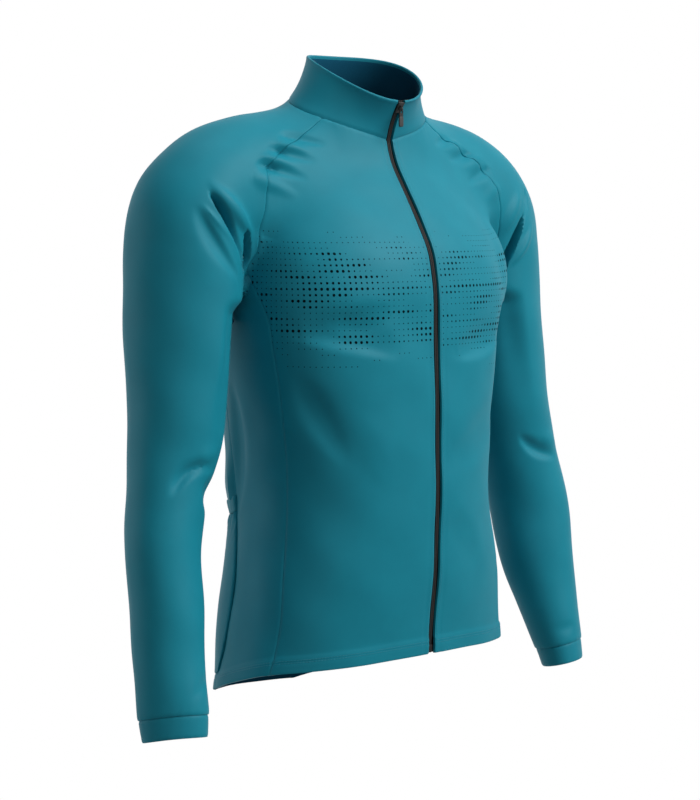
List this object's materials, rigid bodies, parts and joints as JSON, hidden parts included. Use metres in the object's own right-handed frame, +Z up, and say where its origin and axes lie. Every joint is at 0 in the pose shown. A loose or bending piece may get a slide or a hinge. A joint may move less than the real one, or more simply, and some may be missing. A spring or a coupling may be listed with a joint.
{
  "type": "cycling jacket",
  "caption": "Long-sleeved cycling jacket with raglan sleeves, stand collar, full front zip and back pocket, in the hollow form it keeps when worn.",
  "frame": {"origin": "middle of the neck's base, between the shoulders, where the wearer's neck comes through", "axes": "+Z up, the wearer faces -Y, and the wearer's left arm is at +X"},
  "size_m": [0.5956, 0.2482, 0.6642],
  "materials": {
    "body_knit": "smooth teal brushed knit with a soft sheen",
    "cuff_knit": "doubled teal knit band",
    "collar_knit": "doubled teal knit stand",
    "elastic": "teal ribbed elastic",
    "zip_tape": "black woven tape",
    "zip_coil": "dark grey moulded coil",
    "slider_metal": "black satin paint",
    "pull_metal": "dark grey satin paint"
  },
  "bodies": {
    "jacket": {"front_left": "body_knit", "front_right": "body_knit", "side_panel_left": "body_knit", "side_panel_right": "body_knit", "back": "body_knit", "back_pocket": "body_knit", "pocket_elastic": "elastic", "sleeve_left": "body_knit", "sleeve_right": "body_knit", "cuff_left": "cuff_knit", "cuff_right": "cuff_knit", "collar": "collar_knit", "zip_tape_left": "zip_tape", "zip_tape_right": "zip_tape", "zip_coil": "zip_coil", "zip_slider": "slider_metal"},
    "pull": {"zip_pull": "pull_metal"}
  },
  "joints": [
    {"name": "pull_swing", "type": "hinge", "parent": "jacket", "child": "pull", "pos_m": [0, -0.06436, 0.00109], "axis": [-1, 0, 0], "range_deg": [-12, 150]}
  ]
}
